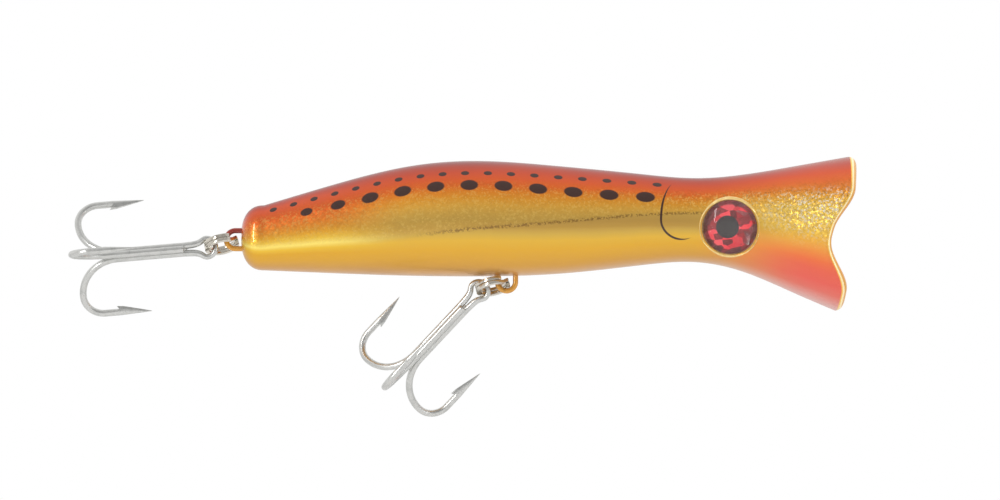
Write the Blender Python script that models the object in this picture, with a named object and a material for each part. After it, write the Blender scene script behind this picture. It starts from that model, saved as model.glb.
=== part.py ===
"""Topwater popper lure, 160 mm long.

A hollow moulded body in two glued halves is built round one bent through wire, which makes
the tow eye in the cupped mouth, the belly hanger and the tail eye. Two lead slugs are threaded
on the wire and two steel balls rattle beside it. Each hanger carries a split ring, and each
ring a treble hook, which is a double hook bent from one wire with a third hook brazed to it.

Frame: metres, +X towards the mouth, +Z towards the back of the lure, +Y to its left.
The origin is the centre of the tow eye, where the line pulls.
"""

from math import atan2, cos, pi, radians, sin, sqrt, tan

import bmesh
import bpy
import numpy as np
from mathutils import Matrix, Vector

# Body
BODY_LENGTH = 0.160  # tail end to the tip of the top lip
BODY_DEPTH = 0.030  # back to belly at the deepest section
BODY_WIDTH = 0.026  # across the widest section behind the mouth
LIP_AHEAD = 0.011  # top lip ahead of the tow eye
SECTION_POWER = 2.3  # 2 is an ellipse, more is squarer
TAIL_CAP = 0.006  # length of the rounded tail end
TAIL_POWER = 2.4  # how square the tail end is
WALL = 0.0020
HEAD_WALL = 0.0034  # thicker, for the eye sockets
RIB = 0.0018
PARTING_GAP = 0.0002  # glue line between the halves
FIT = 0.0003  # clearance between pieces that rest on each other

# Share of the length, then back and belly as shares of the depth, and half width as a share
# of the width. Back and belly are measured from the height of the tow eye.
PROFILE = (
    (0.0375, 0.258, -0.306, 0.262),  # end of the tail cap
    (0.148, 0.434, -0.330, 0.358),
    (0.285, 0.607, -0.353, 0.458),
    (0.380, 0.643, -0.357, 0.500),  # hump
    (0.513, 0.600, -0.336, 0.477),
    (0.650, 0.530, -0.261, 0.419),
    (0.742, 0.494, -0.235, 0.385),  # neck
    (0.810, 0.520, -0.305, 0.427),
    (0.900, 0.597, -0.503, 0.520),
    (1.000, 0.690, -0.730, 0.660),  # flare at the lips
)

# Mouth
LIP_LEAN = 0.0034  # bottom lip behind the top lip
NOTCH = 0.0053  # how far the rim dips back at the sides
NOTCH_CENTRE = -0.13  # its height, as a share of the half depth there
NOTCH_SPAN = 0.667
LIP_ROUND = 0.0020  # edge radius at the top and bottom lips
NOTCH_ROUND = 0.0012  # edge radius at the sides
CUP_DEPTH = 0.015  # top lip to the cup's floor
CUP_POWER = 2.0

# Eyes
EYE_BEHIND_LIP = 0.0333
EYE_HEIGHT = 0.0009
EYE_R = 0.0070
EYE_SEAT = 0.0024  # the socket floor below the flank
BEZEL = 0.0007  # ring of plastic round the socket
BEZEL_PROUD = 0.0009  # the ring's height over the socket floor
FOIL = 0.0003
LENS_EDGE = 0.0005
LENS_DOME = 0.0021
EYE_GAP = 0.0002

# Through wire
WIRE_R = 0.0007
HANGER_R = 0.00165  # inside radius of each eye
HANGER_REACH = 0.0016  # belly surface to the hanger's centre
TAIL_REACH = 0.0015  # tail end to the tail eye's centre
BELLY_FROM_TAIL = 0.0691  # tail end to the hanger
TAIL_EYE_DROP = 0.0012
NOSE_LEG = 0.0075
TAIL_LEG = 0.0100
WIRE_BEND = 0.0025

# Chambers and what they hold
TAIL_SLUG_BACK = 0.010  # tail end to the tail slug
TAIL_SLUG_LENGTH = 0.020
BELLY_SLUG_LENGTH = 0.015
BOSS_FLOOR = 0.0012  # the hanger boss is solid below this height
HEAD_FRONT = 0.0045  # plastic behind the cup's floor
BALL_R = 0.0027
PIN_R = 0.0010
PIN_LENGTH = 0.0020

# Split rings
RING_R = 0.0045  # outside
RING_BAND = 0.0010  # radial thickness of the wire
RING_COIL = 0.00098  # height of one coil
RING_SLIT = 0.0001
RING_JOG = radians(40)
RING_ENDS = radians(5)
RING_SLACK = (0.0003, 0.0003)  # how far a ring lies ahead of its hanger's centre and below

# Treble hooks, measured from the middle of the hook's eye
HOOK_R = 0.0009
HOOK_EYE_R = 0.0017  # inside radius
HOOK_EYE_THIN = 0.80  # the wire is drawn thinner round the eye
HOOK_EYE_NECK = 0.0056  # where the shanks meet behind the eye
HOOK_EYE_WAIST = 0.0015  # where they are about halfway together
HOOK_SHANK = 0.0234
HOOK_SWEEP = (0.0103, 0.0102)  # half axes of the bend next to the shank
HOOK_TURN = 0.0051  # radius of the bend next to the point
HOOK_POINT = 0.0123  # straight length up to the tip
BARB_BACK = 0.0091  # barb's tip behind the point
BARB_CUT = 0.0011
BARB_BITE = 0.0009
BRAZE_GAP = 0.0001  # between the shanks
THIRD_SHANK = 0.0058  # where the third hook's shank ends

# How the hooks lie: fall of the ring and of the shank behind level, in radians
TAIL_RING_FALL = radians(13.0)
TAIL_RING_ROLL = radians(18.0)
TAIL_HOOK_PLACE = 0.0  # how far round the ring the hook has slid to the left
TAIL_HOOK_FALL = radians(4.6)
TAIL_HOOK_YAW = radians(3.0)
BELLY_RING_FALL = radians(12.0)
BELLY_RING_ROLL = radians(16.0)
BELLY_HOOK_PLACE = radians(20.0)
BELLY_HOOK_FALL = radians(46.4)
BELLY_HOOK_YAW = radians(8.6)

TAIL_X = LIP_AHEAD - BODY_LENGTH
FLOOR_X = LIP_AHEAD - CUP_DEPTH
BODY_SIDES = 32
CHAMBER_SIDES = 24
OUTSIDE = 0.010  # how far cutters reach past what they cut
COLLECTION = bpy.context.scene.collection

for old in list(bpy.data.objects):
    bpy.data.objects.remove(old)


# Materials ------------------------------------------------------------------------------

def material(name, colour, roughness, metallic=0.0, alpha=1.0):
    made = bpy.data.materials.new(name)
    made.use_nodes = True
    shader = made.node_tree.nodes["Principled BSDF"]
    shader.inputs["Base Color"].default_value = (*colour, 1.0)
    shader.inputs["Roughness"].default_value = roughness
    shader.inputs["Metallic"].default_value = metallic
    shader.inputs["Alpha"].default_value = alpha
    return made


GOLD_PAINT = material("gold_paint", (0.72, 0.40, 0.06), 0.22, 0.6)
STEEL = material("tinned_steel", (0.62, 0.61, 0.58), 0.25, 1.0)
WIRE_STEEL = material("wire_steel", (0.60, 0.34, 0.08), 0.30, 0.8)
LEAD = material("lead", (0.22, 0.23, 0.25), 0.60, 1.0)
RED_FOIL = material("red_foil", (0.60, 0.03, 0.05), 0.25, 0.8)
CLEAR = material("clear_resin", (0.95, 0.90, 0.90), 0.05, 0.0, 0.35)


# Mesh helpers ---------------------------------------------------------------------------

def finish(bm, name, paint):
    """Turn a bmesh into a named, smooth-shaded object with one material."""
    bmesh.ops.remove_doubles(bm, verts=bm.verts, dist=1e-7)
    bmesh.ops.recalc_face_normals(bm, faces=bm.faces)
    mesh = bpy.data.meshes.new(name)
    bm.to_mesh(mesh)
    bm.free()
    mesh.shade_smooth()
    mesh.set_sharp_from_angle(angle=radians(40))
    mesh.materials.append(paint)
    made = bpy.data.objects.new(name, mesh)
    COLLECTION.objects.link(made)
    return made


def cutter(made):
    """Mark an object as a tool that only shapes others."""
    made.hide_render = True
    made.display_type = "WIRE"
    return made


def boolean(target, tool, operation="DIFFERENCE"):
    modifier = target.modifiers.new(f"{operation.lower()}_{tool.name}", "BOOLEAN")
    modifier.operation = operation
    modifier.object = tool
    modifier.solver = "EXACT"


def first_ring(bm, points):
    """A closed loop of edges through the points."""
    ring = bmesh.ops.create_circle(bm, segments=len(points), radius=1.0)["verts"]
    for vert, place in zip(ring, points):
        vert.co = place
    return ring


def next_ring(bm, ring, points):
    """Extrude a ring's edges and place the new ring at the points."""
    edges = [bm.edges.get(pair) for pair in zip(ring, ring[1:] + ring[:1])]
    made = bmesh.ops.extrude_edge_only(bm, edges=edges)["geom"]
    fresh = {item for item in made if isinstance(item, bmesh.types.BMVert)}
    following = []
    for vert, place in zip(ring, points):
        twin = next(e.other_vert(vert) for e in vert.link_edges if e.other_vert(vert) in fresh)
        twin.co = place
        following.append(twin)
    return following


def loft(rings):
    """A closed bmesh through rings of points, with a flat face on each end."""
    bm = bmesh.new()
    first = ring = first_ring(bm, rings[0])
    for points in rings[1:]:
        ring = next_ring(bm, ring, points)
    bm.faces.new(first)
    bm.faces.new(ring)
    return bm


def turned(profile, origin, axis, sides):
    """Spin (distance along the axis, radius) points round an axis into a closed solid."""
    axis = Vector(axis).normalized()
    side = axis.orthogonal().normalized()
    up = axis.cross(side)
    turns = [2 * pi * k / sides for k in range(sides)]
    return loft([
        [origin + axis * along + (side * cos(a) + up * sin(a)) * radius for a in turns]
        for along, radius in profile
    ])


# Body shape -----------------------------------------------------------------------------

def spline(xs, ys):
    """The natural cubic spline through the points, as a function."""
    xs, ys = np.array(xs), np.array(ys)
    step, slope = np.diff(xs), np.diff(ys) / np.diff(xs)
    system, right = np.eye(len(xs)), np.zeros(len(xs))
    for k in range(1, len(xs) - 1):
        system[k, k - 1 : k + 2] = step[k - 1], 2 * (step[k - 1] + step[k]), step[k]
        right[k] = 6 * (slope[k] - slope[k - 1])
    bend = np.linalg.solve(system, right)

    def value(x):
        k = int(np.clip(np.searchsorted(xs, x) - 1, 0, len(step) - 1))
        a, b = xs[k + 1] - x, x - xs[k]
        curve = (bend[k] * a**3 + bend[k + 1] * b**3) / (6 * step[k])
        ends = (ys[k] / step[k] - bend[k] * step[k] / 6) * a
        return float(curve + ends + (ys[k + 1] / step[k] - bend[k + 1] * step[k] / 6) * b)

    return value


SHARES = [row[0] for row in PROFILE]
BACK = spline(SHARES, [row[1] * BODY_DEPTH for row in PROFILE])
BELLY = spline(SHARES, [row[2] * BODY_DEPTH for row in PROFILE])
FLANK = spline(SHARES, [row[3] * BODY_WIDTH for row in PROFILE])


def section(x):
    """Middle height, half depth and half width of the body at x."""
    from_tail = x - TAIL_X
    share = max(from_tail, TAIL_CAP) / BODY_LENGTH
    back, belly, width = BACK(share), BELLY(share), FLANK(share)
    closing = 1.0
    if from_tail < TAIL_CAP:
        closing = (1 - (1 - from_tail / TAIL_CAP) ** TAIL_POWER) ** (1 / TAIL_POWER)
    return (back + belly) / 2, closing * (back - belly) / 2, closing * width


def rounded(value):
    """Cosine or sine bent towards the squarer section."""
    return (1 if value >= 0 else -1) * abs(value) ** (2 / SECTION_POWER)


def skin_point(x, angle, inset=0.0):
    """The point of the body's surface, or of one inset from it, at x and an angle from +Y."""
    middle, depth, width = section(x)
    y = (width - inset) * rounded(cos(angle))
    return Vector((x, y, middle + (depth - inset) * rounded(sin(angle))))


def inner_floor(x, wall=WALL):
    middle, depth, _ = section(x)
    return middle - depth + wall


def rim_x(angle):
    """Where the rim of the mouth lies, foremost at the top lip and notched at the sides."""
    height = sin(angle)
    lean = LIP_LEAN * (1 - height) / 2
    off = min(1.0, abs(height - NOTCH_CENTRE) / NOTCH_SPAN)
    return LIP_AHEAD - lean - NOTCH * cos(off * pi / 2) ** 2


def lip_round(angle):
    return NOTCH_ROUND + (LIP_ROUND - NOTCH_ROUND) * sin(angle) ** 2


def lip_point(angle, roll):
    """A point of the rounded lip: roll 0 is on the outer skin and 90 degrees is foremost."""
    radius = lip_round(angle)
    start = rim_x(angle) - radius
    middle, depth, width = section(start)
    outer = skin_point(start, angle)
    across = Vector((0, outer.y / width**2, (outer.z - middle) / depth**2)).normalized()
    return outer + Vector((radius * sin(roll), 0, 0)) - across * radius * (1 - cos(roll))


def body_blank():
    """The whole outer body as one closed solid, cup and all."""
    angles = [2 * pi * k / BODY_SIDES for k in range(BODY_SIDES)]
    cap = [TAIL_CAP * share for share in (0.012, 0.06, 0.16, 0.34, 0.62, 1.0)]
    flare_start = BODY_LENGTH * 0.86
    spans = np.linspace(TAIL_CAP, flare_start, 16)[1:]
    rings = [[skin_point(TAIL_X + d, a) for a in angles] for d in [*cap, *spans]]
    for share in (0.25, 0.5, 0.75):
        ring = []
        for a in angles:
            lip_start = rim_x(a) - lip_round(a)
            start = TAIL_X + flare_start
            ring.append(skin_point(start + (lip_start - start) * share, a))
        rings.append(ring)
    for roll in (0, 45, 90, 145):
        rings.append([lip_point(a, radians(roll)) for a in angles])
    floor = Vector((FLOOR_X, 0, 0))
    inner = rings[-1]
    for share in (0.82, 0.64, 0.46, 0.28, 0.12):
        rings.append([
            Vector((
                floor.x + (p.x - floor.x) * share**CUP_POWER,
                floor.y + (p.y - floor.y) * share,
                floor.z + (p.z - floor.z) * share,
            ))
            for p in inner
        ])
    return loft(rings)


# Through wire ---------------------------------------------------------------------------

EYE_WIRE = HANGER_R + WIRE_R  # centre of an eye to the middle of its wire
BELLY_X = TAIL_X + BELLY_FROM_TAIL
BELLY_EYE = Vector((BELLY_X, 0, inner_floor(BELLY_X, 0) - HANGER_REACH))
TAIL_EYE = Vector((TAIL_X - TAIL_REACH, 0, -TAIL_EYE_DROP))
FRONT_RUN = -EYE_WIRE
REAR_RUN = TAIL_EYE.z - EYE_WIRE


def filleted(corners, steps=4):
    """Points along straight runs in the XZ plane, with an arc of the given radius at each corner."""
    points = []
    for before, (x, z, radius), after in zip(corners, corners[1:], corners[2:]):
        corner = Vector((x, 0, z))
        come = (Vector((before[0], 0, before[1])) - corner).normalized()
        leave = (Vector((after[0], 0, after[1])) - corner).normalized()
        half = come.angle(leave) / 2
        centre = corner + (come + leave).normalized() * radius / sin(half)
        start = (corner + come * radius / tan(half) - centre).normalized()
        end = (corner + leave * radius / tan(half) - centre).normalized()
        for k in range(steps + 1):
            points.append(centre + start.slerp(end, k / steps) * radius)
    first, last = corners[0], corners[-1]
    return [Vector((first[0], 0, first[1])), *points, Vector((last[0], 0, last[1]))]


def wire_route():
    """One wire: tow eye, front run, belly hanger, rear run, tail eye."""
    front, rear = BELLY_X + EYE_WIRE, BELLY_X - EYE_WIRE
    hanger_foot = BELLY_EYE.z - EYE_WIRE
    tail_end = TAIL_EYE.x - EYE_WIRE
    return filleted([
        (-NOSE_LEG, EYE_WIRE, 0),
        (EYE_WIRE, EYE_WIRE, EYE_WIRE * 0.999),
        (EYE_WIRE, FRONT_RUN, EYE_WIRE * 0.999),
        (front, FRONT_RUN, WIRE_BEND),
        (front, hanger_foot, EYE_WIRE * 0.999),
        (rear, hanger_foot, EYE_WIRE * 0.999),
        (rear, REAR_RUN, WIRE_BEND),
        (tail_end, REAR_RUN, EYE_WIRE * 0.999),
        (tail_end, TAIL_EYE.z + EYE_WIRE, EYE_WIRE * 0.999),
        (TAIL_EYE.x + TAIL_LEG, TAIL_EYE.z + EYE_WIRE, 0),
    ])


def wire_tube(name, radius):
    curve = bpy.data.curves.new(name, "CURVE")
    curve.dimensions = "3D"
    curve.bevel_depth = radius
    curve.bevel_resolution = 2
    curve.use_fill_caps = True
    route = wire_route()
    path = curve.splines.new("POLY")
    path.points.add(len(route) - 1)
    for point, place in zip(path.points, route):
        point.co = (*place, 1.0)
    made = bpy.data.objects.new(name, curve)
    COLLECTION.objects.link(made)
    return made


def make_wire():
    tube = wire_tube("through_wire", WIRE_R)
    tube.data.materials.append(WIRE_STEEL)
    return tube


def wire_channel():
    """The wire's path at running clearance, as a mesh that can cut."""
    tube = wire_tube("wire_channel_curve", WIRE_R + FIT)
    bpy.context.view_layer.update()
    seen = tube.evaluated_get(bpy.context.evaluated_depsgraph_get())
    bm = bmesh.new()
    bm.from_mesh(bpy.data.meshes.new_from_object(seen))
    bpy.data.objects.remove(tube)
    return cutter(finish(bm, "wire_channel", WIRE_STEEL))


# Body halves ----------------------------------------------------------------------------

TAIL_SLUG = (TAIL_X + TAIL_SLUG_BACK, TAIL_X + TAIL_SLUG_BACK + TAIL_SLUG_LENGTH)
BELLY_SLUG_END = BELLY_X - EYE_WIRE - WIRE_BEND - FIT
BELLY_SLUG = (BELLY_SLUG_END - BELLY_SLUG_LENGTH, BELLY_SLUG_END)


def chamber_spans():
    """Each chamber's start and end along X, with its wall, and whether it has a floor."""
    half_boss = EYE_WIRE + WIRE_R + RIB
    fore = BELLY_X + half_boss + RIB
    head = LIP_AHEAD - EYE_BEHIND_LIP - EYE_R - EYE_GAP - BEZEL - FIT
    middle = (fore + head - RIB) / 2
    return (
        (TAIL_SLUG[0] - FIT, TAIL_SLUG[1] + FIT, WALL, False),
        (TAIL_SLUG[1] + FIT + RIB, BELLY_SLUG[0] - FIT - RIB, WALL, False),
        (BELLY_SLUG[0] - FIT, BELLY_SLUG[1] + FIT, WALL, False),
        (BELLY_SLUG[1] + FIT + RIB, BELLY_X + half_boss, WALL, True),
        (fore, middle - RIB / 2, WALL, False),
        (middle + RIB / 2, head - RIB, WALL, False),
        (head, FLOOR_X - HEAD_FRONT, HEAD_WALL, False),
    )


def make_chambers():
    """One cutter holding every chamber. The plastic left between them makes the ribs."""
    whole = bmesh.new()
    angles = [2 * pi * k / CHAMBER_SIDES for k in range(CHAMBER_SIDES)]
    for start, end, wall, has_floor in chamber_spans():
        places = np.linspace(start, end, 4)
        bm = loft([[skin_point(x, a, wall) for a in angles] for x in places])
        if has_floor:
            everything = [*bm.verts, *bm.edges, *bm.faces]
            cut = bmesh.ops.bisect_plane(bm, geom=everything, dist=1e-7, clear_inner=True,
                                         plane_co=(0, 0, BOSS_FLOOR), plane_no=(0, 0, 1))
            edges = [item for item in cut["geom_cut"] if isinstance(item, bmesh.types.BMEdge)]
            bmesh.ops.edgeloop_fill(bm, edges=edges)
        mesh = bpy.data.meshes.new("chamber")
        bm.to_mesh(mesh)
        bm.free()
        whole.from_mesh(mesh)
        bpy.data.meshes.remove(mesh)
    return cutter(finish(whole, "chambers", GOLD_PAINT))


def eye_frame(side):
    """Centre of the socket floor and the outward direction of the eye on one side."""
    x = LIP_AHEAD - EYE_BEHIND_LIP

    def flank(along, height):
        middle, depth, width = section(x + along)
        share = max(-0.999, min(0.999, (height - middle) / depth))
        y = width * (1 - abs(share) ** SECTION_POWER) ** (1 / SECTION_POWER)
        return Vector((x + along, side * y, height))

    rise = flank(0, EYE_HEIGHT + EYE_R) - flank(0, EYE_HEIGHT - EYE_R)
    run = flank(EYE_R, EYE_HEIGHT) - flank(-EYE_R, EYE_HEIGHT)
    outward = rise.cross(run).normalized() * side
    return flank(0, EYE_HEIGHT) - outward * EYE_SEAT, outward


def pin_places():
    """Where the halves locate on each other, on solid plastic at the parting face."""
    tail_middle, tail_depth, _ = section(TAIL_X + TAIL_CAP)
    legs = EYE_WIRE + WIRE_R + FIT
    head_x = FLOOR_X - HEAD_FRONT / 3
    return (
        Vector((TAIL_X + TAIL_CAP, 0, (tail_middle + tail_depth + TAIL_EYE.z + legs) / 2)),
        Vector((TAIL_X + TAIL_CAP, 0, (tail_middle - tail_depth + TAIL_EYE.z - legs) / 2)),
        Vector((BELLY_X, 0, (BELLY_EYE.z + REAR_RUN) / 2)),
        Vector((head_x, 0, BODY_DEPTH / 4)),
        Vector((head_x, 0, -BODY_DEPTH / 4)),
    )


def make_pegs(name, radius, tip, root):
    """Short rods across the parting face at each locating place."""
    whole = bmesh.new()
    for place in pin_places():
        matrix = Matrix.Translation(place + Vector((0, (tip + root) / 2, 0)))
        bmesh.ops.create_cone(whole, cap_ends=True, segments=12, radius1=radius, radius2=radius,
                              depth=abs(tip - root), matrix=matrix @ Matrix.Rotation(pi / 2, 4, "X"))
    return cutter(finish(whole, name, GOLD_PAINT))


def half_blank(side):
    """One side of the body, cut at the glue line."""
    bm = body_blank()
    plane = Vector((0, side * PARTING_GAP / 2, 0))
    cut = bmesh.ops.bisect_plane(bm, geom=[*bm.verts, *bm.edges, *bm.faces], dist=1e-7,
                                 plane_co=plane, plane_no=(0, side, 0), clear_inner=True)
    edges = [item for item in cut["geom_cut"] if isinstance(item, bmesh.types.BMEdge)]
    bmesh.ops.contextual_create(bm, geom=edges)
    return bm


def make_shell(name, side, chambers, channel):
    """A half of the body: outer skin, chambers, wire channel, eye socket and locating pins."""
    shell = finish(half_blank(side), name, GOLD_PAINT)
    seat, outward = eye_frame(side)
    collar = turned([(-RIB, EYE_R + EYE_GAP + BEZEL), (BEZEL_PROUD, EYE_R + EYE_GAP + BEZEL)],
                    seat, outward, BODY_SIDES)
    socket = turned([(0, EYE_R + EYE_GAP), (OUTSIDE, EYE_R + EYE_GAP)], seat, outward, BODY_SIDES)
    boolean(shell, cutter(finish(collar, f"{name}_collar", GOLD_PAINT)), "UNION")
    boolean(shell, cutter(finish(socket, f"{name}_socket", GOLD_PAINT)))
    boolean(shell, chambers)
    boolean(shell, channel)
    if side > 0:
        holes = make_pegs("pin_holes", PIN_R + FIT, PIN_LENGTH + FIT, -FIT)
        boolean(shell, holes)
    else:
        pins = make_pegs("pins", PIN_R, PIN_LENGTH - FIT, -PIN_LENGTH)
        boolean(shell, pins, "UNION")
    return shell


# Eyes, ballast and rattles --------------------------------------------------------------

def make_eye(name, side):
    seat, outward = eye_frame(side)
    foil_at = seat + outward * EYE_GAP
    lens_at = foil_at + outward * (FOIL + EYE_GAP)
    foil = turned([(0, EYE_R), (FOIL, EYE_R)], foil_at, outward, BODY_SIDES)
    finish(foil, f"eye_foil_{name}", RED_FOIL)
    dome_r = (EYE_R**2 + LENS_DOME**2) / (2 * LENS_DOME)
    widest = atan2(EYE_R, dome_r - LENS_DOME)
    profile = [(0, EYE_R)]
    for k in range(7):
        tilt = widest * (1 - k / 6.5)
        profile.append((LENS_EDGE + LENS_DOME - dome_r * (1 - cos(tilt)), dome_r * sin(tilt)))
    finish(turned(profile, lens_at, outward, BODY_SIDES), f"eye_lens_{name}", CLEAR)


def make_slug(name, span):
    """A lead slug threaded on the rear run, as big as the chamber lets it be."""
    start, end = span
    room = min(REAR_RUN - inner_floor(x) for x in (start, (start + end) / 2, end))
    outer, bore, edge = room - FIT, WIRE_R + FIT, FIT * 2
    bm = bmesh.new()
    corners = [(start, bore), (end, bore), (end, outer - edge), (end - edge, outer),
               (start + edge, outer), (start, outer - edge)]
    profile = [bm.verts.new((x, 0, REAR_RUN + r)) for x, r in corners]
    edges = [bm.edges.new(pair) for pair in zip(profile, profile[1:] + profile[:1])]
    bmesh.ops.spin(bm, geom=[*profile, *edges], cent=(0, 0, REAR_RUN), axis=(1, 0, 0),
                   angle=2 * pi, steps=20, use_merge=True)
    return finish(bm, name, LEAD)


def resting_height(x, y):
    """The least height at which a ball at x and y clears the chamber's floor."""
    middle, depth, width = section(x)
    least = -BODY_DEPTH
    for tilt in np.linspace(-0.5, 1.4, 12):
        share = min(1.0, abs(y + BALL_R * sin(tilt)) / (width - WALL))
        floor = middle - (depth - WALL) * (1 - share**SECTION_POWER) ** (1 / SECTION_POWER)
        least = max(least, floor + BALL_R * cos(tilt))
    return least + FIT


def make_ball(name, side):
    """A steel ball beside the rear run, in the chamber between the two slugs."""
    _, (start, end, _, _), *_ = chamber_spans()
    away = WIRE_R + FIT + BALL_R
    height = max(REAR_RUN, resting_height(start + BALL_R, away))
    bm = bmesh.new()
    bmesh.ops.create_icosphere(bm, subdivisions=3, radius=BALL_R)
    ball = finish(bm, name, STEEL)
    ball.location = ((start + end) / 2, side * away, height)
    return ball


# Split rings and hooks ------------------------------------------------------------------

def fallen(angle):
    """The direction that points to the tail and down by the angle."""
    return Vector((-cos(angle), 0, -sin(angle)))


def ring_frame(hanger, fall, roll):
    """Centre, direction away from the hanger, side and normal of a split ring."""
    away = fallen(fall)
    side = Matrix.Rotation(roll, 3, away) @ Vector((0, -1, 0))
    rest = hanger + Vector((RING_SLACK[0], 0, -RING_SLACK[1]))
    return rest + away * (RING_R - RING_BAND / 2), away, side, away.cross(side)


def make_ring(name, frame):
    """A split ring: two flat coils with a jog between them, beside the hanger."""
    centre, away, side, normal = frame
    reach = RING_R - RING_BAND / 2
    lift = (RING_COIL + RING_SLIT) / 2
    start, end = RING_JOG / 2 + RING_ENDS, 4 * pi - RING_JOG / 2 - RING_ENDS
    jog_at = radians(150)  # from the side away from the hanger
    corner = 0.72  # how far the section's corners are cut
    outline = [(1, -corner), (1, corner), (corner, 1), (-corner, 1),
               (-1, corner), (-1, -corner), (-corner, -1), (corner, -1)]
    rings = []
    for turn in np.linspace(start, end, 46):
        past = np.clip((turn - 2 * pi) / RING_JOG, -0.5, 0.5)
        out = away * cos(turn + jog_at) + side * sin(turn + jog_at)
        middle = centre + out * reach + normal * lift * sin(pi * past)
        rings.append([middle + out * a * RING_BAND / 2 + normal * b * RING_COIL / 2
                      for a, b in outline])
    return finish(loft(rings), name, STEEL)


def arm_points():
    """One arm of a hook as (along the shank, outward) from the shank's end to the tip."""
    shank, (long, wide) = HOOK_SHANK, HOOK_SWEEP
    points = [(shank + long * sin(a), wide * (1 - cos(a))) for a in np.linspace(0, pi / 2, 8)]
    start, out = shank + long - HOOK_TURN, wide
    for a in np.linspace(0, pi / 2, 7)[1:]:
        points.append((start + HOOK_TURN * cos(a), out + HOOK_TURN * sin(a)))
    spear = points[-1]
    root = HOOK_POINT - BARB_BACK + BARB_CUT
    for run in (root - BARB_CUT / 4, root, (root + HOOK_POINT) / 2, HOOK_POINT):
        points.append((spear[0] - run, spear[1]))
    return points


def hook_frame(fall, yaw):
    """Directions along the shank, up in the plane of the eye, and out to the third hook."""
    along = fallen(fall) * cos(yaw) + Vector((0, sin(yaw), 0))
    third = Vector((0, -1, 0))
    third = (third - along * third.dot(along)).normalized()
    return along, along.cross(third), third


def tube(bm, path, radii, barbs, sides=8):
    """Sweep a round wire along the path. barbs maps a point's index to its barb direction."""
    count = len(path)
    tangents = [(path[min(k + 1, count - 1)] - path[max(k - 1, 0)]).normalized()
                for k in range(count)]
    across = tangents[0].orthogonal().normalized()
    ring = None
    for k, (place, tangent, radius) in enumerate(zip(path, tangents, radii)):
        across = (across - tangent * across.dot(tangent)).normalized()
        other = tangent.cross(across)
        points = []
        for turn in range(sides):
            angle = 2 * pi * turn / sides
            spoke = across * cos(angle) + other * sin(angle)
            point = place + spoke * radius
            if k in barbs:
                inward, backward = barbs[k]
                share = max(0.0, spoke.dot(inward)) ** 3
                point += (inward * BARB_BITE + backward * BARB_CUT) * share
            points.append(point)
        if ring is None:
            ring = first_ring(bm, points)
            bm.faces.new(ring)
        else:
            ring = next_ring(bm, ring, points)
    bm.faces.new(ring)


def arm(origin, along, outward):
    """World points and radii of an arm, shank end first, and its barb."""
    shape = arm_points()
    path = [origin + along * a + outward * r for a, r in shape]
    radii = [HOOK_R] * (len(shape) - 2) + [HOOK_R * 0.75, HOOK_R * 0.08]
    return path, radii, {len(shape) - 3: (-outward, along)}


def make_treble(name, eye, fall, yaw):
    """A double hook bent round its eye, and a third hook lying in the groove between its shanks."""
    along, up, third = hook_frame(fall, yaw)
    half = HOOK_R + BRAZE_GAP / 2
    eye_r = HOOK_EYE_R + HOOK_R * HOOK_EYE_THIN
    swing = sqrt(3) / 2

    path, radii, barbs = [], [], {}
    for sign in (1, -1):
        outward = up * sign * swing - third / 2
        side_path, side_radii, side_barbs = arm(eye + up * sign * half, along, outward)
        neck = [(HOOK_EYE_NECK, half, 1.0)]
        for away in (3.2, 2.0, 1.3, 0.9, 0.5):
            share = 1 / (1 + away**2.4)
            neck.append((HOOK_EYE_WAIST * away, half + (eye_r - half) * share,
                         1 + (HOOK_EYE_THIN - 1) * share))
        for turn in np.linspace(0, pi / 2, 5):
            neck.append((-eye_r * sin(turn), eye_r * cos(turn), HOOK_EYE_THIN))
        side = [(eye + along * a + up * sign * u, HOOK_R * thin) for a, u, thin in neck]
        count = len(side_path)
        whole = list(zip(side_path, side_radii))[::-1] + side
        if sign > 0:
            path, radii = [p for p, _ in whole], [r for _, r in whole]
            barbs = {count - 1 - k: value for k, value in side_barbs.items()}
        else:
            whole = whole[-2::-1]
            barbs.update({len(path) + len(side) - 1 + k: v for k, v in side_barbs.items()})
            path += [p for p, _ in whole]
            radii += [r for _, r in whole]
    bm = bmesh.new()
    tube(bm, path, radii, barbs)
    finish(bm, f"{name}_double_hook", STEEL)

    groove = sqrt((2 * HOOK_R + BRAZE_GAP) ** 2 - half**2)
    path, radii, barbs = arm(eye + third * groove, along, third)
    bm = bmesh.new()
    start = eye + third * groove + along * THIRD_SHANK
    tube(bm, [start, *path], [HOOK_R, *radii], {k + 1: value for k, value in barbs.items()})
    finish(bm, f"{name}_third_hook", STEEL)


def make_tackle(name, frame, place, hook_fall, hook_yaw):
    """A split ring on a hanger and the treble hook on the ring."""
    make_ring(f"{name}_split_ring", frame)
    centre, away, side, _ = frame
    eye = centre + (away * cos(place) - side * sin(place)) * (RING_R - RING_BAND / 2)
    make_treble(name, eye, hook_fall, hook_yaw)


# Assembly -------------------------------------------------------------------------------

chamber_cutter = make_chambers()
channel_cutter = wire_channel()
for side_name, side_sign in (("left", 1), ("right", -1)):
    make_shell(f"body_shell_{side_name}", side_sign, chamber_cutter, channel_cutter)
    make_eye(side_name, side_sign)
    make_ball(f"rattle_ball_{side_name}", side_sign)
make_wire()
make_slug("tail_ballast", TAIL_SLUG)
make_slug("belly_ballast", BELLY_SLUG)
make_tackle("tail", ring_frame(TAIL_EYE, TAIL_RING_FALL, TAIL_RING_ROLL),
            TAIL_HOOK_PLACE, TAIL_HOOK_FALL, TAIL_HOOK_YAW)
make_tackle("belly", ring_frame(BELLY_EYE, BELLY_RING_FALL, BELLY_RING_ROLL),
            BELLY_HOOK_PLACE, BELLY_HOOK_FALL, BELLY_HOOK_YAW)
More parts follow.
